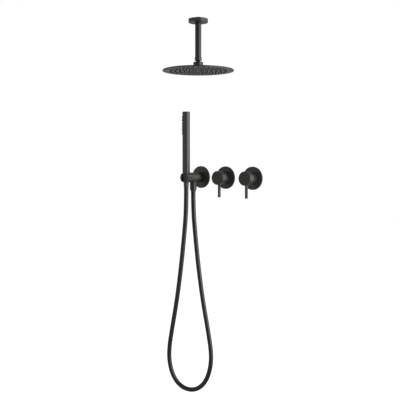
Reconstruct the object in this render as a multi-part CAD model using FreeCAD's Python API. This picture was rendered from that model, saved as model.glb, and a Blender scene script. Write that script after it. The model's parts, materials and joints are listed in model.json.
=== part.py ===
import FreeCAD, Part
import math
import os
from FreeCAD import Placement, Rotation, Vector

# Rainfall shower set: a ceiling arm with a swivelling round head, a wall outlet that holds a
# stick handset on its hose, and two pin-lever valves. Millimetres. X runs along the wall, +Y
# into it and +Z up. The origin is the diverter's axis on the finished wall, which is Y = 0.

# Places
OUTLET_X = -108.0
DIVERTER_X = 0.0
MIXER_X = 112.0
ARM_Y = -152.0
CEILING_Z = 512.5
HEAD_FACE_Z = 347.0
HOSE_OUTLET_REACH = 46.0
HANDSET_REACH = 84.0

# Standard pipe thread of the outlet, arm, hose and handset, as its largest radius
THREAD_R = 10.4775
FIT_GAP = 0.05
RUN_GAP = 0.1

# Round wall plates
ROSE_R = 38.75
ROSE_T = 5.0
ROSE_EDGE = 0.8
ROSE_RECESS_R = 31.5
ROSE_RECESS_DEPTH = 1.0
ORING_R = 0.9

# Ceiling arm
ARM_R = 10.0
ARM_BORE_R = 6.5
ARM_BOTTOM_Z = 391.6
ARM_SOCKET_R = 7.5
ARM_SOCKET_DEPTH = 16.0
ARM_THREAD_LENGTH = 8.5
ARM_THREAD_ABOVE_CEILING = 5.0
CEILING_ROSE_R = 31.3
CEILING_ROSE_H = 11.5
CEILING_ROSE_FLOOR = 3.2
CEILING_ROSE_WALL = 2.0

# Ball joint
BALL_R = 9.5
BALL_Z = 365.5
STUD_COLLAR_R = 11.2
STUD_COLLAR_H = 11.1
STUD_BORE_R = 3.5
NECK_R = 5.5
NECK_TOP_R = 8.0
NECK_STRAIGHT_TOP_Z = 377.5
LINER_OUTER_R = 11.0
LINER_LOW = -1.0
LINER_HIGH = 6.0
NUT_R = 15.8
NUT_TOP_Z = 376.0
NUT_MOUTH_R = 8.2
BOSS_R = 12.6
BOSS_BORE_R = 11.2
BOSS_TOP_Z = 365.0
SEAT_LOW = -10.5
SEAT_HIGH = -4.5
SEAT_BORE_R = 5.0

# Rain head
HEAD_R = 115.0
HEAD_RIM_H = 4.2
HEAD_CENTRE_H = 10.0
HEAD_RIM_WALL = 2.4
PLATE_T = 1.6
MAT_T = 1.2
GASKET_T = 0.9
GASKET_INNER_R = 106.0
NOZZLE_RING_STEP = 15.0
NOZZLE_RINGS = 6
NOZZLES_IN_FIRST_RING = 6
NOZZLE_BASE_R = 2.2
NOZZLE_TIP_R = 1.5
NOZZLE_BORE_R = 0.6
NOZZLE_HOLE_R = 2.4
NOZZLE_PROUD = 2.4

# Wall outlet with its slotted holder
OUTLET_R = 17.2
OUTLET_REACH = 97.0
OUTLET_THREAD_LENGTH = 12.0
OUTLET_BORE_R = 6.0
CONE_TOP_R = 12.8
CONE_BOTTOM_R = 10.2
CONE_TOP_Z = 17.0
SEAT_GAP = 0.25
SLOT_WIDTH = 17.5
BOSS_THREAD_END_Z = -30.0
CHECK_VALVE_R = 7.5

# Hose
HOSE_R = 8.0
HOSE_NUT_R = 11.7
HOSE_NUT_TOP_Z = -17.2
HOSE_NUT_BOTTOM_Z = -46.0
FERRULE_R = 8.8
FERRULE_BORE_R = 4.0
HOSE_START_Z = -51.0
HOSE_END_Z = -32.0
HOSE_ROUTE = [
    (-108, -46, -51),
    (-108, -46, -112),
    (-99, -46, -200),
    (-85, -46, -312),
    (-65, -46, -430),
    (-40, -46, -540),
    (-26, -47, -612),
    (-29, -49, -664),
    (-45, -53, -711),
    (-74, -59, -743),
    (-112, -66, -754),
    (-150, -73, -743),
    (-176, -79, -711),
    (-189, -83, -664),
    (-189, -84, -612),
    (-176, -84, -545),
    (-152, -84, -435),
    (-133, -84, -320),
    (-118, -84, -205),
    (-108, -84, -110),
    (-108, -84, -32),
]

# Handset
HANDSET_R = 12.9
HANDSET_BORE_R = 11.3
HANDSET_BOTTOM_Z = 17.1
HANDSET_TOP_Z = 225.5
HANDSET_CAP_T = 2.8
HANDSET_CAP_LINE = 0.3
HANDSET_PLUG_H = 7.0
INLET_PLUG_H = 17.0
CORE_R = 9.8
CORE_WALL = 1.8
SPRAY_DIRECTION_DEG = 31.0
SPRAY_COLUMN_STEP_DEG = 25.0
SPRAY_NOZZLE_STEP = 11.4
SPRAY_NOZZLES = 6
SPRAY_TOP_Z = 208.0
SPRAY_STRIP_SPAN_DEG = 84.0
SPRAY_STRIP_MARGIN = 4.0
SPRAY_NOZZLE_TIP_R = 1.5
SPRAY_NOZZLE_BASE_R = 2.2
SPRAY_HOLE_R = 2.4
SPRAY_PROUD = 2.2

# Lever valves
VALVE_FLANGE_R = 30.0
VALVE_FLANGE_BACK = 3.5
VALVE_FLANGE_FRONT = 0.5
VALVE_BOLT_CIRCLE_R = 25.0
VALVE_BOLT_HOLE_R = 2.25
VALVE_BOLTS = 4
BARREL_R = 18.0
BARREL_BACK = 26.0
BARREL_FRONT = 14.0
PORT_R = 5.0
PORT_DEPTH = 10.0
PORT_CIRCLE_R = 11.3
PORTS = 3
PASSAGE_R = 2.5
PASSAGE_CIRCLE_R = 9.8
CARTRIDGE_R = 12.5
CARTRIDGE_BACK = 13.8
CARTRIDGE_FLANGE_R = 14.8
CARTRIDGE_FLANGE_LOW = 6.0
CARTRIDGE_FLANGE_HIGH = 8.0
CARTRIDGE_NECK_R = 8.5
CARTRIDGE_NECK_TOP = 18.0
SPINDLE_R = 6.5
SPINDLE_LOW = 2.3
SPINDLE_SHOULDER = 20.0
LEVER_PIVOT = 25.0
EAR_TOP = 29.0
STEM_WIDTH = 6.4
STEM_HEIGHT = 8.0
STEM_TOP = 43.0
STEM_EYE_R = 4.4
HINGE_PIN_R = 1.5
SLEEVE_R = 21.25
SLEEVE_WALL = 1.75
SLEEVE_FRONT = 27.0
SLEEVE_LIP = 2.0
SLEEVE_MOUTH_R = 10.0
KNOB_R = 23.5
KNOB_BORE_R = 22.0
KNOB_BACK = 28.0
KNOB_FRONT = 51.0
KNOB_FACE_T = 4.0
KNOB_HUB_R = 9.0
KNOB_HUB_BACK = 32.0
KNOB_EDGE = 0.7
LEVER_REACH = 38.0
LEVER_R = 5.0
LEVER_END = 66.0
LEVER_TIP_R = 2.5
LEVER_EDGE = 0.5

FULL_TURN = 360.0
UP = Vector(0, 0, 1)
OUT_OF_WALL = Rotation(Vector(1, 0, 0), 90)


def turned(*profile):
    """A solid of revolution about Z from its (radius, height) outline."""
    corners = [Vector(radius, 0, height) for radius, height in profile]
    outline = Part.makePolygon(corners + corners[:1])
    return Part.Face(outline).revolve(Vector(), UP, FULL_TURN)


def rod(radius, low, high):
    return Part.makeCylinder(radius, high - low, Vector(0, 0, low))


def pipe(outer, inner, low, high):
    return rod(outer, low, high).cut(rod(inner, low, high))


def bar(centre_x, centre_y, size_x, size_y, low, high):
    corner = Vector(centre_x - size_x / 2, centre_y - size_y / 2, low)
    return Part.makeBox(size_x, size_y, high - low, corner)


def ring_seal(ring_r, height, section_r=ORING_R):
    return Part.makeTorus(ring_r, section_r, Vector(0, 0, height))


def moved(shape, x, y, z=0.0):
    return shape.translated(Vector(x, y, z))


def on_wall(shape, x):
    """Turn a shape made along +Z so that it stands out of the wall at X = x."""
    placed = shape.copy()
    placed.Placement = Placement(Vector(x, 0, 0), OUT_OF_WALL).multiply(placed.Placement)
    return placed


def on_arm(shape):
    return moved(shape, 0, ARM_Y)


def on_handset(shape):
    return moved(shape, OUTLET_X, -HANDSET_REACH)


def on_hose_outlet(shape):
    return moved(shape, OUTLET_X, -HOSE_OUTLET_REACH)


# Ceiling arm


def ceiling_arm():
    thread_top = CEILING_Z + ARM_THREAD_ABOVE_CEILING
    thread_low = thread_top - ARM_THREAD_LENGTH
    socket_top = ARM_BOTTOM_Z + ARM_SOCKET_DEPTH
    return turned(
        (ARM_SOCKET_R, ARM_BOTTOM_Z),
        (ARM_R, ARM_BOTTOM_Z),
        (ARM_R, thread_low),
        (THREAD_R, thread_low),
        (THREAD_R, thread_top),
        (ARM_BORE_R, thread_top),
        (ARM_BORE_R, socket_top),
        (ARM_SOCKET_R, socket_top),
    )


def ceiling_rose_seal_size():
    ring_r = ARM_R + RUN_GAP + ORING_R
    height = CEILING_Z - CEILING_ROSE_H + CEILING_ROSE_FLOOR / 2
    return ring_r, height


def ceiling_rose():
    low = CEILING_Z - CEILING_ROSE_H
    floor = low + CEILING_ROSE_FLOOR
    bore_r = ARM_R + 2 * RUN_GAP
    recess_r = CEILING_ROSE_R - CEILING_ROSE_WALL
    plate = turned(
        (bore_r, low),
        (CEILING_ROSE_R - ROSE_EDGE, low),
        (CEILING_ROSE_R, low + ROSE_EDGE),
        (CEILING_ROSE_R, CEILING_Z),
        (recess_r, CEILING_Z),
        (recess_r, floor),
        (bore_r, floor),
    )
    ring_r, height = ceiling_rose_seal_size()
    return plate.cut(ring_seal(ring_r, height, ORING_R + RUN_GAP))


def ceiling_rose_oring():
    return ring_seal(*ceiling_rose_seal_size())


# Ball joint

STUD_SEAL_R = 0.7
STUD_SEAL_Z = ARM_BOTTOM_Z + 2.0
STUD_SPIGOT_TOP_Z = ARM_BOTTOM_Z + ARM_SOCKET_DEPTH - 2.4
RESTRICTOR_R = 5.4
RESTRICTOR_T = 3.0
RESTRICTOR_HOLE_R = 0.9
RESTRICTOR_HOLES = 6
RESTRICTOR_HOLE_CIRCLE_R = 3.0


def ball_stud():
    spigot_r = ARM_SOCKET_R - FIT_GAP
    collar_low = ARM_BOTTOM_Z - STUD_COLLAR_H
    groove_r = spigot_r - 2 * STUD_SEAL_R
    groove_half = STUD_SEAL_R + FIT_GAP
    stem = turned(
        (0, BALL_Z),
        (NECK_R, BALL_Z),
        (NECK_R, NECK_STRAIGHT_TOP_Z),
        (NECK_TOP_R, collar_low),
        (STUD_COLLAR_R, collar_low),
        (STUD_COLLAR_R, ARM_BOTTOM_Z),
        (spigot_r, ARM_BOTTOM_Z),
        (spigot_r, STUD_SEAL_Z - groove_half),
        (groove_r, STUD_SEAL_Z - groove_half),
        (groove_r, STUD_SEAL_Z + groove_half),
        (spigot_r, STUD_SEAL_Z + groove_half),
        (spigot_r, STUD_SPIGOT_TOP_Z),
        (0, STUD_SPIGOT_TOP_Z),
    )
    ball = Part.makeSphere(BALL_R, Vector(0, 0, BALL_Z))
    waterway = rod(STUD_BORE_R, BALL_Z - BALL_R, STUD_SPIGOT_TOP_Z)
    pocket = rod(RESTRICTOR_R + FIT_GAP, STUD_SPIGOT_TOP_Z - RESTRICTOR_T, STUD_SPIGOT_TOP_Z)
    return stem.fuse(ball).cut(waterway).cut(pocket)


def stud_oring():
    ring_r = ARM_SOCKET_R - FIT_GAP - STUD_SEAL_R - FIT_GAP / 2
    return ring_seal(ring_r, STUD_SEAL_Z, STUD_SEAL_R - FIT_GAP / 2)


def flow_restrictor():
    low = STUD_SPIGOT_TOP_Z - RESTRICTOR_T
    disc = rod(RESTRICTOR_R, low, STUD_SPIGOT_TOP_Z)
    for index in range(RESTRICTOR_HOLES):
        angle = math.radians(index * FULL_TURN / RESTRICTOR_HOLES)
        hole = rod(RESTRICTOR_HOLE_R, low, STUD_SPIGOT_TOP_Z)
        x = RESTRICTOR_HOLE_CIRCLE_R * math.cos(angle)
        y = RESTRICTOR_HOLE_CIRCLE_R * math.sin(angle)
        disc = disc.cut(moved(hole, x, y))
    return disc


def ball_space(radius):
    return Part.makeSphere(radius, Vector(0, 0, BALL_Z))


def ball_liner():
    band = rod(LINER_OUTER_R + 1, BALL_Z + LINER_LOW, BALL_Z + LINER_HIGH)
    return ball_space(LINER_OUTER_R).common(band).cut(ball_space(BALL_R + FIT_GAP))


def ball_nut():
    low = HEAD_FACE_Z + HEAD_CENTRE_H
    mouth_edge = 1.2
    blank = turned(
        (0, low),
        (NUT_R - ROSE_EDGE, low),
        (NUT_R, low + ROSE_EDGE),
        (NUT_R, NUT_TOP_Z - ROSE_EDGE),
        (NUT_R - ROSE_EDGE, NUT_TOP_Z),
        (0, NUT_TOP_Z),
    )
    thread = rod(BOSS_R + FIT_GAP, low, BOSS_TOP_Z + RUN_GAP)
    mouth = turned(
        (0, BALL_Z),
        (NUT_MOUTH_R, BALL_Z),
        (NUT_MOUTH_R, NUT_TOP_Z - mouth_edge),
        (NUT_MOUTH_R + mouth_edge, NUT_TOP_Z),
        (0, NUT_TOP_Z),
    )
    return blank.cut(thread).cut(ball_space(LINER_OUTER_R + RUN_GAP)).cut(mouth)


SEAT_SEAL_REACH = (BALL_R + FIT_GAP + ORING_R) / math.sqrt(2)


def ball_seat():
    blank = pipe(BOSS_BORE_R - RUN_GAP, SEAT_BORE_R, BALL_Z + SEAT_LOW, BALL_Z + SEAT_HIGH)
    groove = ring_seal(SEAT_SEAL_REACH, BALL_Z - SEAT_SEAL_REACH, ORING_R + FIT_GAP)
    return blank.cut(ball_space(BALL_R + RUN_GAP)).cut(groove)


def seat_oring():
    return ring_seal(SEAT_SEAL_REACH, BALL_Z - SEAT_SEAL_REACH)


# Rain head

PLATE_R = HEAD_R - HEAD_RIM_WALL - RUN_GAP
PLATE_BACK_Z = HEAD_FACE_Z + PLATE_T
LEDGE_Z = PLATE_BACK_Z + GASKET_T


def head_shell():
    rim_inner = HEAD_R - HEAD_RIM_WALL
    rim_top = HEAD_FACE_Z + HEAD_RIM_H
    centre_top = HEAD_FACE_Z + HEAD_CENTRE_H
    boss_floor = BALL_Z + SEAT_LOW
    dome_r = 26.0
    rim_round = 1.2
    skin = 1.4
    return turned(
        (HEAD_R - 0.4, HEAD_FACE_Z),
        (HEAD_R, HEAD_FACE_Z + 0.4),
        (HEAD_R, rim_top - rim_round),
        (HEAD_R - rim_round, rim_top),
        (dome_r, centre_top),
        (BOSS_R, centre_top),
        (BOSS_R, BOSS_TOP_Z),
        (BOSS_BORE_R, BOSS_TOP_Z),
        (BOSS_BORE_R, boss_floor),
        (SEAT_BORE_R, boss_floor),
        (SEAT_BORE_R, centre_top - 3 * skin),
        (dome_r, centre_top - 3 * skin),
        (GASKET_INNER_R, rim_top - skin),
        (GASKET_INNER_R, LEDGE_Z),
        (rim_inner, LEDGE_Z),
        (rim_inner, HEAD_FACE_Z),
    )


def nozzle_places():
    for ring in range(1, NOZZLE_RINGS + 1):
        count = NOZZLES_IN_FIRST_RING * ring
        for index in range(count):
            angle = math.radians((index + 0.5 * (ring % 2)) * FULL_TURN / count)
            radius = NOZZLE_RING_STEP * ring
            yield radius * math.cos(angle), radius * math.sin(angle)


def head_face_plate():
    plate = turned(
        (0, HEAD_FACE_Z),
        (PLATE_R, HEAD_FACE_Z),
        (PLATE_R, PLATE_BACK_Z),
        (0, PLATE_BACK_Z),
    )
    hole = rod(NOZZLE_HOLE_R, HEAD_FACE_Z, PLATE_BACK_Z)
    holes = [moved(hole, x, y) for x, y in nozzle_places()]
    return plate.cut(Part.makeCompound(holes))


def head_nozzle_mat():
    mat_top = PLATE_BACK_Z + MAT_T
    mat = rod(GASKET_INNER_R - RUN_GAP, PLATE_BACK_Z, mat_top)
    tip_z = HEAD_FACE_Z - NOZZLE_PROUD
    nozzle = turned(
        (0, tip_z),
        (NOZZLE_TIP_R, tip_z),
        (NOZZLE_BASE_R, HEAD_FACE_Z),
        (NOZZLE_BASE_R, mat_top),
        (0, mat_top),
    )
    bore = rod(NOZZLE_BORE_R, tip_z, mat_top)
    nozzles = [moved(nozzle, x, y) for x, y in nozzle_places()]
    bores = [moved(bore, x, y) for x, y in nozzle_places()]
    return mat.multiFuse(nozzles).cut(Part.makeCompound(bores))


def head_gasket():
    return pipe(PLATE_R, GASKET_INNER_R, PLATE_BACK_Z, LEDGE_Z)


# Wall outlet and holder


def wall_rose(bore_r):
    plate = turned(
        (bore_r, ROSE_RECESS_DEPTH),
        (ROSE_RECESS_R, ROSE_RECESS_DEPTH),
        (ROSE_RECESS_R, 0),
        (ROSE_R, 0),
        (ROSE_R, ROSE_T - ROSE_EDGE),
        (ROSE_R - ROSE_EDGE, ROSE_T),
        (bore_r, ROSE_T),
    )
    ring_r, height = rose_seal_size(bore_r)
    return plate.cut(ring_seal(ring_r, height, ORING_R + FIT_GAP))


def rose_seal_size(bore_r):
    ring_r = bore_r - RUN_GAP + ORING_R
    return ring_r, (ROSE_RECESS_DEPTH + ROSE_T) / 2


def rose_oring(bore_r):
    return ring_seal(*rose_seal_size(bore_r))


def cone_radius(height):
    """Radius of the conical nut at a height above the holder's axis."""
    share = (height + CONE_TOP_Z) / (2 * CONE_TOP_Z)
    return CONE_BOTTOM_R + share * (CONE_TOP_R - CONE_BOTTOM_R)


def outlet_body():
    edge = 1.0
    body = turned(
        (0, 0),
        (OUTLET_R, 0),
        (OUTLET_R, OUTLET_REACH - edge),
        (OUTLET_R - edge, OUTLET_REACH),
        (0, OUTLET_REACH),
    )
    inlet = rod(THREAD_R, -OUTLET_THREAD_LENGTH, 0)
    waterway = rod(OUTLET_BORE_R, -OUTLET_THREAD_LENGTH, HOSE_OUTLET_REACH)
    body = on_wall(body.fuse(inlet).cut(waterway), OUTLET_X)
    boss = rod(THREAD_R, BOSS_THREAD_END_Z, -OUTLET_R / 2)
    chamber = rod(CHECK_VALVE_R + FIT_GAP, BOSS_THREAD_END_Z, 0)
    body = body.fuse(on_hose_outlet(boss)).cut(on_hose_outlet(chamber))
    seat_half = CONE_TOP_Z + 1
    seat = turned(
        (0, -seat_half),
        (cone_radius(-seat_half) + SEAT_GAP, -seat_half),
        (cone_radius(seat_half) + SEAT_GAP, seat_half),
        (0, seat_half),
    )
    slot_depth = OUTLET_REACH
    slot = bar(0, -slot_depth / 2, SLOT_WIDTH, slot_depth, -seat_half, seat_half)
    return body.cut(on_handset(seat.fuse(slot)))


def outlet_check_valve():
    low = BOSS_THREAD_END_Z + FIT_GAP
    high = -4.0
    shoulder = low + 6.0
    return turned(
        (3.0, low),
        (CHECK_VALVE_R, low),
        (CHECK_VALVE_R, shoulder),
        (CHECK_VALVE_R - 1.0, shoulder + 1.0),
        (CHECK_VALVE_R - 1.0, high - 4.0),
        (4.0, high),
        (3.0, high),
    )


# Hose and what is on it

WASHER_T = 2.0
WASHER_R = 10.2
WASHER_BORE_R = 6.0
TAIL_FLANGE_R = 9.6
TAIL_FLANGE_T = 2.3
TAIL_R = 6.0
NUT_FLOOR = 0.3


def outlet_washer_low():
    return BOSS_THREAD_END_Z - RUN_GAP - WASHER_T


def hose_outlet_washer():
    low = outlet_washer_low()
    return pipe(WASHER_R, WASHER_BORE_R, low, low + WASHER_T)


def hose_outlet_nut():
    floor = outlet_washer_low() - RUN_GAP - TAIL_FLANGE_T - NUT_FLOOR
    taper = 3.0
    edge = 0.6
    return turned(
        (TAIL_R + RUN_GAP, HOSE_NUT_BOTTOM_Z),
        (HOSE_NUT_R - taper, HOSE_NUT_BOTTOM_Z),
        (HOSE_NUT_R, HOSE_NUT_BOTTOM_Z + taper),
        (HOSE_NUT_R, HOSE_NUT_TOP_Z - edge),
        (HOSE_NUT_R - edge, HOSE_NUT_TOP_Z),
        (THREAD_R + FIT_GAP, HOSE_NUT_TOP_Z),
        (THREAD_R + FIT_GAP, floor),
        (TAIL_R + RUN_GAP, floor),
    )


def hose_outlet_ferrule():
    flange_top = outlet_washer_low() - RUN_GAP
    flange_low = flange_top - TAIL_FLANGE_T
    collar_top = HOSE_NUT_BOTTOM_Z - RUN_GAP
    return turned(
        (FERRULE_BORE_R, HOSE_START_Z),
        (FERRULE_R, HOSE_START_Z),
        (FERRULE_R, collar_top),
        (TAIL_R, collar_top),
        (TAIL_R, flange_low),
        (TAIL_FLANGE_R, flange_low),
        (TAIL_FLANGE_R, flange_top),
        (FERRULE_BORE_R, flange_top),
    )


TAIL_TOP_Z = 4.1
TAIL_FLANGE_IN_CONE_R = 9.0
CONE_CAVITY_R = 9.6
CONE_CAVITY_TOP_Z = 6.5
CONE_CAVITY_LOW_Z = TAIL_TOP_Z - TAIL_FLANGE_T - NUT_FLOOR


def hose_handset_ferrule():
    top = -CONE_TOP_Z - NUT_FLOOR
    edge = 0.6
    return turned(
        (FERRULE_BORE_R, HOSE_END_Z),
        (FERRULE_R, HOSE_END_Z),
        (FERRULE_R, top - edge),
        (FERRULE_R - edge, top),
        (FERRULE_BORE_R, top),
    )


def hose_handset_tail():
    low = -CONE_TOP_Z - NUT_FLOOR
    return turned(
        (FERRULE_BORE_R, low),
        (TAIL_R, low),
        (TAIL_R, TAIL_TOP_Z - TAIL_FLANGE_T),
        (TAIL_FLANGE_IN_CONE_R, TAIL_TOP_Z - TAIL_FLANGE_T),
        (TAIL_FLANGE_IN_CONE_R, TAIL_TOP_Z),
        (FERRULE_BORE_R, TAIL_TOP_Z),
    )


def cone_nut():
    return turned(
        (TAIL_R + RUN_GAP, -CONE_TOP_Z),
        (CONE_BOTTOM_R, -CONE_TOP_Z),
        (CONE_TOP_R, CONE_TOP_Z),
        (THREAD_R + FIT_GAP, CONE_TOP_Z),
        (THREAD_R + FIT_GAP, CONE_CAVITY_TOP_Z),
        (CONE_CAVITY_R, CONE_CAVITY_TOP_Z),
        (CONE_CAVITY_R, CONE_CAVITY_LOW_Z),
        (TAIL_R + RUN_GAP, CONE_CAVITY_LOW_Z),
    )


def cone_washer():
    return pipe(CONE_CAVITY_R - RUN_GAP, FERRULE_BORE_R, TAIL_TOP_Z + NUT_FLOOR, CONE_CAVITY_TOP_Z)


def route_corners(points):
    """Yield each inner corner of the route with its tangent points and arc radius."""
    for before, corner, after in zip(points, points[1:], points[2:]):
        back = before - corner
        ahead = after - corner
        half_turn = (math.pi - back.getAngle(ahead)) / 2
        reach = 0.45 * min(back.Length, ahead.Length)
        radius = reach / math.tan(half_turn)
        start = corner + back.normalize() * reach
        end = corner + ahead.normalize() * reach
        sagitta = radius / math.cos(half_turn) - radius
        middle = corner + (back + ahead).normalize() * sagitta
        yield start, middle, end, radius


def shower_hose():
    """The hose as straight runs joined by tangent arcs."""
    points = [Vector(*place) for place in HOSE_ROUTE]
    edges = []
    radii = []
    here = points[0]
    for start, middle, end, radius in route_corners(points):
        edges.append(Part.LineSegment(here, start).toShape())
        edges.append(Part.Arc(start, middle, end).toShape())
        radii.append(radius)
        here = end
    edges.append(Part.LineSegment(here, points[-1]).toShape())
    path = Part.Wire(edges)
    first_run = points[1] - points[0]
    section = Part.Wire(Part.makeCircle(HOSE_R, points[0], first_run))
    hose = path.makePipeShell([section], True, False)
    volume = math.pi * HOSE_R ** 2 * path.Length
    print("hose length", round(path.Length, 1), "volume ratio", round(hose.Volume / volume, 4))
    print("hose arc radii", [round(radius) for radius in radii])
    return hose


# Handset


def handset_cap():
    low = HANDSET_TOP_Z - HANDSET_CAP_T
    edge = 0.6
    return turned(
        (0, low - HANDSET_PLUG_H),
        (HANDSET_BORE_R - RUN_GAP, low - HANDSET_PLUG_H),
        (HANDSET_BORE_R - RUN_GAP, low),
        (HANDSET_R, low),
        (HANDSET_R, HANDSET_TOP_Z - edge),
        (HANDSET_R - edge, HANDSET_TOP_Z),
        (0, HANDSET_TOP_Z),
    )


def spray_places():
    """Yield the height and bearing of each handset nozzle, the middle column staggered."""
    for column in (-1, 0, 1):
        stagger = 0.5 if column == 0 else 0.0
        count = SPRAY_NOZZLES - 1 if column == 0 else SPRAY_NOZZLES
        for index in range(count):
            height = SPRAY_TOP_Z - (index + stagger) * SPRAY_NOZZLE_STEP
            yield height, SPRAY_DIRECTION_DEG + column * SPRAY_COLUMN_STEP_DEG


def outward(shape, height, bearing):
    """Turn a shape made along +Z to point out of the handset, bearing from -Y towards -X."""
    placed = shape.copy()
    level = Placement(Vector(0, 0, height), OUT_OF_WALL)
    placed.Placement = Placement(Vector(), Rotation(UP, -bearing)).multiply(level)
    return placed


def handset_tube():
    top = HANDSET_TOP_Z - HANDSET_CAP_T - HANDSET_CAP_LINE
    tube = pipe(HANDSET_R, HANDSET_BORE_R, HANDSET_BOTTOM_Z, top)
    hole = rod(SPRAY_HOLE_R, CORE_R, HANDSET_R + 1)
    holes = [outward(hole, height, bearing) for height, bearing in spray_places()]
    return tube.cut(Part.makeCompound(holes))


def spray_strip_ends():
    low = SPRAY_TOP_Z - (SPRAY_NOZZLES - 1) * SPRAY_NOZZLE_STEP - SPRAY_STRIP_MARGIN
    return low, SPRAY_TOP_Z + SPRAY_STRIP_MARGIN


def handset_nozzle_strip():
    low, high = spray_strip_ends()
    corners = (
        (CORE_R + FIT_GAP, low),
        (HANDSET_BORE_R - FIT_GAP, low),
        (HANDSET_BORE_R - FIT_GAP, high),
        (CORE_R + FIT_GAP, high),
    )
    outline = [Vector(0, -radius, height) for radius, height in corners]
    face = Part.Face(Part.makePolygon(outline + outline[:1]))
    face.rotate(Vector(), UP, SPRAY_STRIP_SPAN_DEG / 2 - SPRAY_DIRECTION_DEG)
    strip = face.revolve(Vector(), UP, -SPRAY_STRIP_SPAN_DEG)
    tip = HANDSET_R + SPRAY_PROUD
    nozzle = turned(
        (0, CORE_R + 0.5),
        (SPRAY_NOZZLE_BASE_R, CORE_R + 0.5),
        (SPRAY_NOZZLE_BASE_R, HANDSET_R),
        (SPRAY_NOZZLE_TIP_R, tip),
        (0, tip),
    )
    bore = rod(NOZZLE_BORE_R, CORE_R - 1, tip)
    nozzles = [outward(nozzle, height, bearing) for height, bearing in spray_places()]
    bores = [outward(bore, height, bearing) for height, bearing in spray_places()]
    return strip.multiFuse(nozzles).cut(Part.makeCompound(bores))


def handset_core():
    low = HANDSET_BOTTOM_Z + INLET_PLUG_H + RUN_GAP
    high = HANDSET_TOP_Z - HANDSET_CAP_T - HANDSET_PLUG_H - RUN_GAP
    core = pipe(CORE_R, CORE_R - CORE_WALL, low, high)
    feed = rod(NOZZLE_BASE_R, 0, CORE_R + 1)
    feeds = [outward(feed, height, bearing) for height, bearing in spray_places()]
    return core.cut(Part.makeCompound(feeds))


def handset_inlet():
    thread_low = CONE_CAVITY_TOP_Z + RUN_GAP
    plug_r = HANDSET_BORE_R - RUN_GAP
    return turned(
        (SEAT_BORE_R, thread_low),
        (THREAD_R, thread_low),
        (THREAD_R, HANDSET_BOTTOM_Z),
        (plug_r, HANDSET_BOTTOM_Z),
        (plug_r, HANDSET_BOTTOM_Z + INLET_PLUG_H),
        (SEAT_BORE_R, HANDSET_BOTTOM_Z + INLET_PLUG_H),
    )


# Lever valves, made along +Z with the wall at height 0


def around(shape, circle_r, count, start_deg=0.0):
    """Copies of a shape on a circle about Z, as one compound."""
    copies = []
    for index in range(count):
        angle = math.radians(start_deg + index * FULL_TURN / count)
        copies.append(moved(shape, circle_r * math.cos(angle), circle_r * math.sin(angle)))
    return Part.makeCompound(copies)


def valve_body():
    flange = rod(VALVE_FLANGE_R, -VALVE_FLANGE_BACK, -VALVE_FLANGE_FRONT)
    bolt_hole = rod(VALVE_BOLT_HOLE_R, -VALVE_FLANGE_BACK, -VALVE_FLANGE_FRONT)
    bolt_holes = around(bolt_hole, VALVE_BOLT_CIRCLE_R, VALVE_BOLTS, 45.0)
    port = rod(PORT_R, -BARREL_BACK, PORT_DEPTH - BARREL_BACK)
    passage = rod(PASSAGE_R, -BARREL_BACK, 0)
    body = rod(BARREL_R, -BARREL_BACK, BARREL_FRONT).fuse(flange)
    body = body.cut(rod(CARTRIDGE_R + FIT_GAP, -CARTRIDGE_BACK - FIT_GAP, BARREL_FRONT))
    body = body.cut(rod(CARTRIDGE_FLANGE_R + RUN_GAP, CARTRIDGE_FLANGE_LOW, BARREL_FRONT))
    body = body.cut(bolt_holes)
    body = body.cut(around(port, PORT_CIRCLE_R, PORTS, 90.0))
    return body.cut(around(passage, PASSAGE_CIRCLE_R, PORTS, 90.0))


def valve_cartridge():
    return turned(
        (0, -CARTRIDGE_BACK),
        (CARTRIDGE_R, -CARTRIDGE_BACK),
        (CARTRIDGE_R, CARTRIDGE_FLANGE_LOW + FIT_GAP),
        (CARTRIDGE_FLANGE_R, CARTRIDGE_FLANGE_LOW + FIT_GAP),
        (CARTRIDGE_FLANGE_R, CARTRIDGE_FLANGE_HIGH),
        (CARTRIDGE_NECK_R, CARTRIDGE_FLANGE_HIGH),
        (CARTRIDGE_NECK_R, CARTRIDGE_NECK_TOP),
        (SPINDLE_R + RUN_GAP, CARTRIDGE_NECK_TOP),
        (SPINDLE_R + RUN_GAP, SPINDLE_LOW - NUT_FLOOR),
        (0, SPINDLE_LOW - NUT_FLOOR),
    )


def valve_cartridge_nut():
    low = CARTRIDGE_FLANGE_HIGH + RUN_GAP
    return pipe(CARTRIDGE_FLANGE_R + FIT_GAP, CARTRIDGE_NECK_R + RUN_GAP, low, BARREL_FRONT)


def valve_sleeve():
    bore_r = SLEEVE_R - SLEEVE_WALL
    edge = 0.4
    lip_back = SLEEVE_FRONT - SLEEVE_LIP
    return turned(
        (bore_r, 0),
        (SLEEVE_R, 0),
        (SLEEVE_R, SLEEVE_FRONT - edge),
        (SLEEVE_R - edge, SLEEVE_FRONT),
        (SLEEVE_MOUTH_R, SLEEVE_FRONT),
        (SLEEVE_MOUTH_R, lip_back),
        (bore_r, lip_back),
    )


def mixer_spindle():
    """The turning spindle, forked at its front to hold the lever's hinge pin."""
    shaft = rod(SPINDLE_R, SPINDLE_LOW, EAR_TOP)
    fork_gap = bar(0, 0, STEM_WIDTH + 2 * RUN_GAP, 3 * SPINDLE_R, SPINDLE_SHOULDER, EAR_TOP)
    pin_hole = Part.makeCylinder(
        HINGE_PIN_R + FIT_GAP, 3 * SPINDLE_R, Vector(-1.5 * SPINDLE_R, 0, LEVER_PIVOT), Vector(1, 0, 0)
    )
    return shaft.cut(fork_gap).cut(pin_hole)


def mixer_spindle_pin():
    half = SPINDLE_R - NUT_FLOOR
    return Part.makeCylinder(HINGE_PIN_R, 2 * half, Vector(-half, 0, LEVER_PIVOT), Vector(1, 0, 0))


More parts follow.
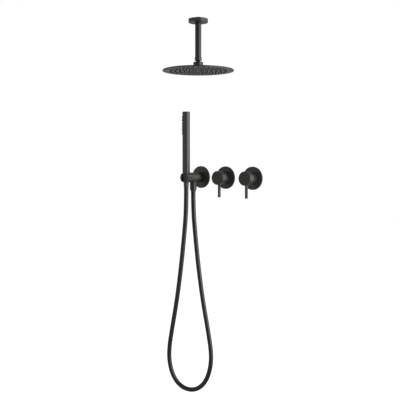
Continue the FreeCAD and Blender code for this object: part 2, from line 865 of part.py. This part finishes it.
def mixer_stem():
    half = STEM_WIDTH / 2
    eye_start = Vector(-half, 0, LEVER_PIVOT)
    along_pin = Vector(1, 0, 0)
    eye = Part.makeCylinder(STEM_EYE_R, STEM_WIDTH, eye_start, along_pin)
    hole = Part.makeCylinder(HINGE_PIN_R + RUN_GAP, STEM_WIDTH, eye_start, along_pin)
    shank = bar(0, 0, STEM_WIDTH, STEM_HEIGHT, LEVER_PIVOT, STEM_TOP)
    return eye.fuse(shank).cut(hole)


def diverter_spindle():
    shaft = rod(SPINDLE_R, SPINDLE_LOW, EAR_TOP)
    shank = bar(0, 0, STEM_WIDTH, STEM_HEIGHT, EAR_TOP, STEM_TOP)
    return shaft.fuse(shank)


def valve_knob():
    """A cap with a hub inside, socketed for the stem and bored below for the lever pin."""
    face_back = KNOB_FRONT - KNOB_FACE_T
    cap = turned(
        (KNOB_BORE_R, KNOB_BACK),
        (KNOB_R - KNOB_EDGE, KNOB_BACK),
        (KNOB_R, KNOB_BACK + KNOB_EDGE),
        (KNOB_R, KNOB_FRONT - KNOB_EDGE),
        (KNOB_R - KNOB_EDGE, KNOB_FRONT),
        (0, KNOB_FRONT),
        (0, KNOB_HUB_BACK),
        (KNOB_HUB_R, KNOB_HUB_BACK),
        (KNOB_HUB_R, face_back),
        (KNOB_BORE_R, face_back),
    )
    socket_gap = 2 * FIT_GAP
    socket = bar(
        0, 0, STEM_WIDTH + socket_gap, STEM_HEIGHT + socket_gap, KNOB_HUB_BACK, STEM_TOP + FIT_GAP
    )
    thread = downward(LEVER_TIP_R + FIT_GAP, 0, KNOB_HUB_R)
    clearance = downward(LEVER_R + RUN_GAP, KNOB_HUB_R + FIT_GAP, KNOB_R + 1)
    return cap.cut(socket).cut(thread).cut(clearance)


def downward(radius, start, end):
    """A rod across the valve's axis at the lever's reach, towards the floor once on the wall."""
    return Part.makeCylinder(radius, end - start, Vector(0, -start, LEVER_REACH), Vector(0, -1, 0))


def valve_lever_pin():
    shank = downward(LEVER_R, KNOB_HUB_R + FIT_GAP, LEVER_END)
    rim = [edge for edge in shank.Edges if edge.BoundBox.YMax < -LEVER_END + FIT_GAP]
    shank = shank.makeChamfer(LEVER_EDGE, rim)
    tip = downward(LEVER_TIP_R, STEM_HEIGHT / 2 + RUN_GAP, KNOB_HUB_R + FIT_GAP)
    return shank.fuse(tip)


def valve_pieces(name, x):
    sleeve_bore = SLEEVE_R + RUN_GAP
    pieces = {
        "rose": wall_rose(sleeve_bore),
        "rose_oring": rose_oring(sleeve_bore),
        "body": valve_body(),
        "cartridge": valve_cartridge(),
        "cartridge_nut": valve_cartridge_nut(),
        "sleeve": valve_sleeve(),
        "knob": valve_knob(),
        "lever_pin": valve_lever_pin(),
    }
    return {f"{name}_{piece}": on_wall(shape, x) for piece, shape in pieces.items()}


def all_pieces():
    outlet_bore = OUTLET_R + RUN_GAP
    pieces = {
        "ceiling_arm": on_arm(ceiling_arm()),
        "ceiling_rose": on_arm(ceiling_rose()),
        "ceiling_rose_oring": on_arm(ceiling_rose_oring()),
        "ball_stud": on_arm(ball_stud()),
        "stud_oring": on_arm(stud_oring()),
        "flow_restrictor": on_arm(flow_restrictor()),
        "ball_liner": on_arm(ball_liner()),
        "ball_nut": on_arm(ball_nut()),
        "ball_seat": on_arm(ball_seat()),
        "seat_oring": on_arm(seat_oring()),
        "head_shell": on_arm(head_shell()),
        "head_face_plate": on_arm(head_face_plate()),
        "head_nozzle_mat": on_arm(head_nozzle_mat()),
        "head_gasket": on_arm(head_gasket()),
        "outlet_rose": on_wall(wall_rose(outlet_bore), OUTLET_X),
        "outlet_rose_oring": on_wall(rose_oring(outlet_bore), OUTLET_X),
        "outlet_body": outlet_body(),
        "outlet_check_valve": on_hose_outlet(outlet_check_valve()),
        "hose_outlet_washer": on_hose_outlet(hose_outlet_washer()),
        "hose_outlet_nut": on_hose_outlet(hose_outlet_nut()),
        "hose_outlet_ferrule": on_hose_outlet(hose_outlet_ferrule()),
        "shower_hose": shower_hose(),
        "hose_handset_ferrule": on_handset(hose_handset_ferrule()),
        "hose_handset_tail": on_handset(hose_handset_tail()),
        "cone_nut": on_handset(cone_nut()),
        "cone_washer": on_handset(cone_washer()),
        "handset_inlet": on_handset(handset_inlet()),
        "handset_tube": on_handset(handset_tube()),
        "handset_core": on_handset(handset_core()),
        "handset_nozzle_strip": on_handset(handset_nozzle_strip()),
        "handset_cap": on_handset(handset_cap()),
        "mixer_spindle": on_wall(mixer_spindle(), MIXER_X),
        "mixer_spindle_pin": on_wall(mixer_spindle_pin(), MIXER_X),
        "mixer_stem": on_wall(mixer_stem(), MIXER_X),
        "diverter_spindle": on_wall(diverter_spindle(), DIVERTER_X),
    }
    pieces.update(valve_pieces("diverter", DIVERTER_X))
    pieces.update(valve_pieces("mixer", MIXER_X))
    return pieces


os.makedirs("parts", exist_ok=True)
for node, shape in all_pieces().items():
    if not shape.isValid() or len(shape.Solids) != 1:
        print("check", node, "solids", len(shape.Solids), "valid", shape.isValid())
    shape.exportStep(f"parts/{node}.step")
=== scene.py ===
import json
import math

import bpy
import numpy as np
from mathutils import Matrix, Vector


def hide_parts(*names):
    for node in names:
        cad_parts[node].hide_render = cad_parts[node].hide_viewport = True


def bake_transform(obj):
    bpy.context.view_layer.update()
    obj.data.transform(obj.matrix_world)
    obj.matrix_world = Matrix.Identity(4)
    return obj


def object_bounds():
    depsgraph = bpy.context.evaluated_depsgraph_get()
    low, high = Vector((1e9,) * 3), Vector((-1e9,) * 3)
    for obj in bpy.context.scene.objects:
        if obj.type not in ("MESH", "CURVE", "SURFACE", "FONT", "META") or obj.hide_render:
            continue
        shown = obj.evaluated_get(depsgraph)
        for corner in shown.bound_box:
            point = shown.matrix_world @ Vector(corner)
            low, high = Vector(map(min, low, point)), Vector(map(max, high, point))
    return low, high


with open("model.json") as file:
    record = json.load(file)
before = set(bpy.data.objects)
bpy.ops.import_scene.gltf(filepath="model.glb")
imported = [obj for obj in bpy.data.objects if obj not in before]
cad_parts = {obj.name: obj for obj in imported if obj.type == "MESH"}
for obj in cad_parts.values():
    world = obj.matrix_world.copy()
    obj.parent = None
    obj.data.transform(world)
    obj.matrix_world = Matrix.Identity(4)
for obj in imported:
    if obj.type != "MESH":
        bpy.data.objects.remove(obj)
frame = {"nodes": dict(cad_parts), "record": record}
cad_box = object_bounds()

# Metres throughout. The origin is the diverter's axis on the finished wall, with +Y into the wall.

MM = 0.001
WHITE = (1.0, 1.0, 1.0, 1.0)

# Camera
CAMERA_AZIMUTH = math.radians(38.76)
CAMERA_PITCH = math.radians(3.785)
CAMERA_DISTANCE = 2.24
CAMERA_TARGET = Vector((-0.068, -0.058, -0.077))
CAMERA_REACH = 60.0
SENSOR_WIDTH_MM = 36.0
LENS_MM = 58.5

# Studio
WORLD_STRENGTH = 1.0
WORLD_IN_REFLECTIONS = 0.34
FLOOR_DROP = 0.7
FLOOR_HALF = 9.0
FLOOR_GLOW = 0.12
SOFT_LIGHTS = {
    "right_softbox": dict(
        azimuth=96.0, height=-0.05, distance=2.6, width=2.7, tall=2.4, radiance=3.6
    ),
    "rear_softbox": dict(
        azimuth=139.0, height=0.45, distance=2.8, width=1.5, tall=3.4, radiance=1.6
    ),
    "front_softbox": dict(
        azimuth=-42.0, height=-0.1, distance=3.0, width=5.0, tall=3.6, radiance=0.2
    ),
}

# Linear colours of the finishes; tones are a darker and a lighter one that mix
BLACK_TONES = ((0.0032, 0.003, 0.0022), (0.0052, 0.0049, 0.0037))
WORN_BLACK = (0.018, 0.0175, 0.0162)
NOZZLE_BLACK = (0.004, 0.004, 0.0037)
SEAL_BLACK = (0.02, 0.02, 0.02)
RUBBER_CONTRAST = 1.7
BRASS_TONES = ((0.5, 0.35, 0.15), (0.72, 0.53, 0.25))
STEEL_TONES = ((0.42, 0.42, 0.43), (0.6, 0.6, 0.6))
PLASTIC_TONES = ((0.6, 0.6, 0.56), (0.72, 0.72, 0.68))
FLOOR_TONES = ((0.93, 0.93, 0.925), (0.96, 0.96, 0.955))

# Hose, with the part's own route
HOSE_DIAMETER = 0.016
HOSE_PITCH = 0.0042
HOSE_GROOVE = 0.00028
HOSE_STEPS_PER_PITCH = 8
HOSE_SIDES = 36
HOSE_RESOLUTION = 200
HOSE_ROUTE_MM = [
    (-108, -46, -51),
    (-108, -46, -112),
    (-99, -46, -200),
    (-85, -46, -312),
    (-65, -46, -430),
    (-40, -46, -540),
    (-26, -47, -612),
    (-29, -49, -664),
    (-45, -53, -711),
    (-74, -59, -743),
    (-112, -66, -754),
    (-150, -73, -743),
    (-176, -79, -711),
    (-189, -83, -664),
    (-189, -84, -612),
    (-176, -84, -545),
    (-152, -84, -435),
    (-133, -84, -320),
    (-118, -84, -205),
    (-108, -84, -110),
    (-108, -84, -32),
]


# Materials


class Shader:
    """A Principled material whose colour, roughness and bump come from procedural nodes."""

    def __init__(self, name, metallic=0.0, specular=0.5):
        self.material = bpy.data.materials.new(name)
        self.material.use_nodes = True
        self.nodes = self.material.node_tree.nodes
        self.links = self.material.node_tree.links
        self.surface = self.nodes["Principled BSDF"]
        self.surface.inputs["Metallic"].default_value = metallic
        self.surface.inputs["Specular IOR Level"].default_value = specular
        self.place = self.nodes.new("ShaderNodeTexCoord").outputs["Object"]
        self.normal = None

    def stretched(self, x, y, z):
        mapping = self.nodes.new("ShaderNodeMapping")
        mapping.inputs["Scale"].default_value = (x, y, z)
        self.links.new(self.place, mapping.inputs["Vector"])
        return mapping.outputs["Vector"]

    def noise(self, scale, detail=4.0, roughness=0.5, vector=None):
        node = self.nodes.new("ShaderNodeTexNoise")
        node.inputs["Scale"].default_value = scale
        node.inputs["Detail"].default_value = detail
        node.inputs["Roughness"].default_value = roughness
        self.links.new(vector or self.place, node.inputs["Vector"])
        return node.outputs["Fac"]

    def ramp(self, factor, low, high, start=0.3, stop=0.7):
        """From low to high as factor goes from start to stop."""
        node = self.nodes.new("ShaderNodeMapRange")
        node.inputs["From Min"].default_value = start
        node.inputs["From Max"].default_value = stop
        node.inputs["To Min"].default_value = low
        node.inputs["To Max"].default_value = high
        self.links.new(factor, node.inputs["Value"])
        return node.outputs["Result"]

    def mix(self, factor, first, second):
        """first where factor is 0 and second where it is 1; each is a colour or a socket."""
        node = self.nodes.new("ShaderNodeMix")
        node.data_type = "RGBA"
        self.links.new(factor, node.inputs["Factor"])
        for name, value in (("A", first), ("B", second)):
            socket = [s for s in node.inputs if s.name == name and s.type == "RGBA"][0]
            if isinstance(value, bpy.types.NodeSocket):
                self.links.new(value, socket)
            else:
                socket.default_value = (*value, 1.0)
        return [s for s in node.outputs if s.type == "RGBA"][0]

    def edges(self, start=0.53, stop=0.6):
        """0 on flat stretches and 1 on outer corners."""
        geometry = self.nodes.new("ShaderNodeNewGeometry")
        return self.ramp(geometry.outputs["Pointiness"], 0.0, 1.0, start, stop)

    def colour(self, value):
        self.links.new(value, self.surface.inputs["Base Color"])

    def roughness(self, value):
        self.links.new(value, self.surface.inputs["Roughness"])

    def bump(self, height, distance, strength):
        """Adds to the bumps that the material has already."""
        node = self.nodes.new("ShaderNodeBump")
        node.inputs["Strength"].default_value = strength
        node.inputs["Distance"].default_value = distance
        self.links.new(height, node.inputs["Height"])
        if self.normal is not None:
            self.links.new(self.normal, node.inputs["Normal"])
        self.normal = node.outputs["Normal"]
        self.links.new(self.normal, self.surface.inputs["Normal"])


def satin_black(name, grain, rough_low, rough_high):
    shader = Shader(name)
    tone = shader.mix(shader.noise(scale=45.0), *BLACK_TONES)
    shader.colour(shader.mix(shader.edges(), tone, WORN_BLACK))
    shader.roughness(shader.ramp(shader.noise(scale=160.0, detail=6.0), rough_low, rough_high))
    shader.bump(shader.noise(scale=grain, detail=3.0), distance=0.000012, strength=0.25)
    shader.bump(shader.noise(scale=220.0, detail=2.0), distance=0.00003, strength=0.15)
    return shader.material


def black_rubber(name, colour):
    shader = Shader(name, specular=0.2)
    lighter = tuple(RUBBER_CONTRAST * channel for channel in colour)
    shader.colour(shader.mix(shader.noise(scale=300.0), colour, lighter))
    shader.roughness(shader.ramp(shader.noise(scale=700.0), low=0.5, high=0.68))
    shader.bump(shader.noise(scale=3500.0), distance=0.00005, strength=0.4)
    return shader.material


def machined(name, tones, rough_low, rough_high):
    """Bright metal with fine marks left by turning about the Y axis."""
    shader = Shader(name, metallic=1.0)
    along_y = shader.stretched(0.25, 6.0, 0.25)
    turned = shader.noise(scale=900.0, detail=5.0, roughness=0.6, vector=along_y)
    shader.colour(shader.mix(shader.noise(scale=60.0), *tones))
    shader.roughness(shader.ramp(turned, rough_low, rough_high))
    shader.bump(turned, distance=0.00006, strength=0.3)
    return shader.material


def moulded_plastic(name):
    shader = Shader(name, specular=0.45)
    shader.colour(shader.mix(shader.noise(scale=80.0), *PLASTIC_TONES))
    shader.roughness(shader.ramp(shader.noise(scale=400.0), low=0.35, high=0.5))
    shader.bump(shader.noise(scale=1800.0), distance=0.00005, strength=0.3)
    return shader.material


def floor_white(name):
    shader = Shader(name, specular=0.1)
    shader.colour(shader.mix(shader.noise(scale=3.0), *FLOOR_TONES))
    shader.roughness(shader.ramp(shader.noise(scale=20.0), low=0.75, high=0.9))
    shader.bump(shader.noise(scale=90.0), distance=0.0003, strength=0.1)
    shader.surface.inputs["Emission Color"].default_value = WHITE
    shader.surface.inputs["Emission Strength"].default_value = FLOOR_GLOW
    return shader.material


def finish_of_slots():
    return {
        "satin_black": satin_black("satin_black", grain=2600.0, rough_low=0.26, rough_high=0.34),
        "hose_black": satin_black("hose_black", grain=3600.0, rough_low=0.22, rough_high=0.3),
        "nozzle_rubber": black_rubber("nozzle_rubber", NOZZLE_BLACK),
        "seal_rubber": black_rubber("seal_rubber", SEAL_BLACK),
        "brass": machined("brass", BRASS_TONES, rough_low=0.22, rough_high=0.4),
        "stainless_steel": machined("steel", STEEL_TONES, rough_low=0.2, rough_high=0.35),
        "engineering_plastic": moulded_plastic("engineering_plastic"),
    }


def paint_cad_nodes(finishes):
    for row in frame["record"]["subparts"]:
        node = frame["nodes"][row["node"]]
        for material_slot in node.material_slots:
            material_slot.material = finishes[row["material_slot"]]


# Hose


def route_points():
    """The route that part.py has, in metres."""
    return [Vector(place) * MM for place in HOSE_ROUTE_MM]


def route_line():
    """Points along the smooth NURBS line of the hose's route."""
    route = route_points()
    curve = bpy.data.curves.new("hose_route", "CURVE")
    curve.dimensions = "3D"
    curve.resolution_u = HOSE_RESOLUTION
    spline = curve.splines.new("NURBS")
    spline.points.add(len(route) - 1)
    for point, place in zip(spline.points, route):
        point.co = (*place, 1.0)
    spline.order_u = 3
    spline.use_endpoint_u = True
    holder = bpy.data.objects.new("hose_route", curve)
    bpy.context.scene.collection.objects.link(holder)
    bpy.context.view_layer.update()
    line = bpy.data.meshes.new_from_object(holder)
    points = np.array([vertex.co[:] for vertex in line.vertices])
    bpy.data.objects.remove(holder)
    bpy.data.meshes.remove(line)
    bpy.data.curves.remove(curve)
    return points


def evenly_spaced(points):
    """The same line in whole pitches of the hose, with equal steps in each pitch."""
    lengths = np.concatenate(([0.0], np.cumsum(np.linalg.norm(np.diff(points, axis=0), axis=1))))
    steps = round(lengths[-1] / HOSE_PITCH) * HOSE_STEPS_PER_PITCH
    along = np.linspace(0.0, lengths[-1], steps + 1)
    return np.stack([np.interp(along, lengths, points[:, axis]) for axis in range(3)], axis=1)


def steady_frames(points):
    """Side and up vectors along the line, turning no more than the line does."""
    tangents = np.gradient(points, axis=0)
    tangents /= np.linalg.norm(tangents, axis=1)[:, None]
    side = np.cross(tangents[0], (0.0, 1.0, 0.0))
    sides = []
    for tangent in tangents:
        side = side - tangent * side.dot(tangent)
        side = side / np.linalg.norm(side)
        sides.append(side)
    sides = np.array(sides)
    return sides, np.cross(tangents, sides)


def seamed_tube(name, points):
    """A closed tube with a shallow rounded groove at each pitch, as on an interlocked metal hose."""
    sides, ups = steady_frames(points)
    angles = np.arange(HOSE_SIDES) * 2 * math.pi / HOSE_SIDES
    turns = np.arange(len(points)) / HOSE_STEPS_PER_PITCH
    seam = 0.5 + 0.5 * np.cos(2 * math.pi * turns)
    radii = HOSE_DIAMETER / 2 - HOSE_GROOVE * seam**2
    rings = points[:, None, :] + radii[:, None, None] * (
        np.cos(angles)[None, :, None] * sides[:, None, :]
        + np.sin(angles)[None, :, None] * ups[:, None, :]
    )
    vertices = [tuple(vertex) for ring in rings for vertex in ring]
    faces = []
    for ring in range(len(points) - 1):
        for index in range(HOSE_SIDES):
            beside = (index + 1) % HOSE_SIDES
            here = ring * HOSE_SIDES
            after = here + HOSE_SIDES
            faces.append((here + index, here + beside, after + beside, after + index))
    faces.append(tuple(reversed(range(HOSE_SIDES))))
    last = (len(points) - 1) * HOSE_SIDES
    faces.append(tuple(last + index for index in range(HOSE_SIDES)))
    mesh = bpy.data.meshes.new(name)
    mesh.from_pydata(vertices, [], faces)
    mesh.validate()
    mesh.shade_smooth()
    tube = bpy.data.objects.new(name, mesh)
    bpy.context.scene.collection.objects.link(tube)
    return tube


def add_hose(finishes):
    points = evenly_spaced(route_line())
    hose = seamed_tube("hose", points)
    hose.data.materials.append(finishes["hose_black"])
    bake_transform(hose)
    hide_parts("shower_hose")


# Studio and camera


def look_direction():
    flat = math.cos(CAMERA_PITCH)
    return Vector(
        (
            -math.sin(CAMERA_AZIMUTH) * flat,
            math.cos(CAMERA_AZIMUTH) * flat,
            -math.sin(CAMERA_PITCH),
        )
    )


def add_camera():
    data = bpy.data.cameras.new("camera")
    data.lens = LENS_MM
    data.sensor_width = SENSOR_WIDTH_MM
    data.clip_end = CAMERA_REACH
    camera = bpy.data.objects.new("camera", data)
    direction = look_direction()
    camera.location = CAMERA_TARGET - direction * CAMERA_DISTANCE
    camera.rotation_euler = direction.to_track_quat("-Z", "Y").to_euler()
    bpy.context.scene.collection.objects.link(camera)
    bpy.context.scene.camera = camera


def add_soft_light(name, azimuth, height, distance, width, tall, radiance):
    """A rectangular soft light that faces the Z axis, at an angle to the right of the front."""
    angle = math.radians(azimuth)
    data = bpy.data.lights.new(name, "AREA")
    data.shape = "RECTANGLE"
    data.size = width
    data.size_y = tall
    data.energy = radiance * math.pi * width * tall
    light = bpy.data.objects.new(name, data)
    light.location = (distance * math.sin(angle), -distance * math.cos(angle), height)
    aim = Vector((0.0, 0.0, CAMERA_TARGET.z)) - light.location
    light.rotation_euler = aim.to_track_quat("-Z", "Y").to_euler()
    bpy.context.scene.collection.objects.link(light)


def add_world():
    """A plain white surround that looks darker in reflections than it lights."""
    world = bpy.data.worlds.new("studio")
    world.use_nodes = True
    background = world.node_tree.nodes["Background"]
    background.inputs["Color"].default_value = WHITE
    ray = world.node_tree.nodes.new("ShaderNodeLightPath")
    dimmer = world.node_tree.nodes.new("ShaderNodeMapRange")
    dimmer.inputs["To Min"].default_value = WORLD_STRENGTH
    dimmer.inputs["To Max"].default_value = WORLD_IN_REFLECTIONS
    world.node_tree.links.new(ray.outputs["Is Glossy Ray"], dimmer.inputs["Value"])
    world.node_tree.links.new(dimmer.outputs["Result"], background.inputs["Strength"])
    bpy.context.scene.world = world
    bpy.context.scene.view_settings.view_transform = "Standard"


def add_floor():
    low = cad_box[0][2] - FLOOR_DROP
    corners = [
        (sign_x * FLOOR_HALF, sign_y * FLOOR_HALF, low)
        for sign_x, sign_y in ((-1, -1), (1, -1), (1, 1), (-1, 1))
    ]
    mesh = bpy.data.meshes.new("floor")
    mesh.from_pydata(corners, [], [(0, 1, 2, 3)])
    floor = bpy.data.objects.new("floor", mesh)
    floor.data.materials.append(floor_white("floor_white"))
    floor.visible_glossy = False
    bpy.context.scene.collection.objects.link(floor)


add_camera()
add_world()
add_floor()
for light_name, settings in SOFT_LIGHTS.items():
    add_soft_light(light_name, **settings)
slot_finishes = finish_of_slots()
paint_cad_nodes(slot_finishes)
add_hose(slot_finishes)
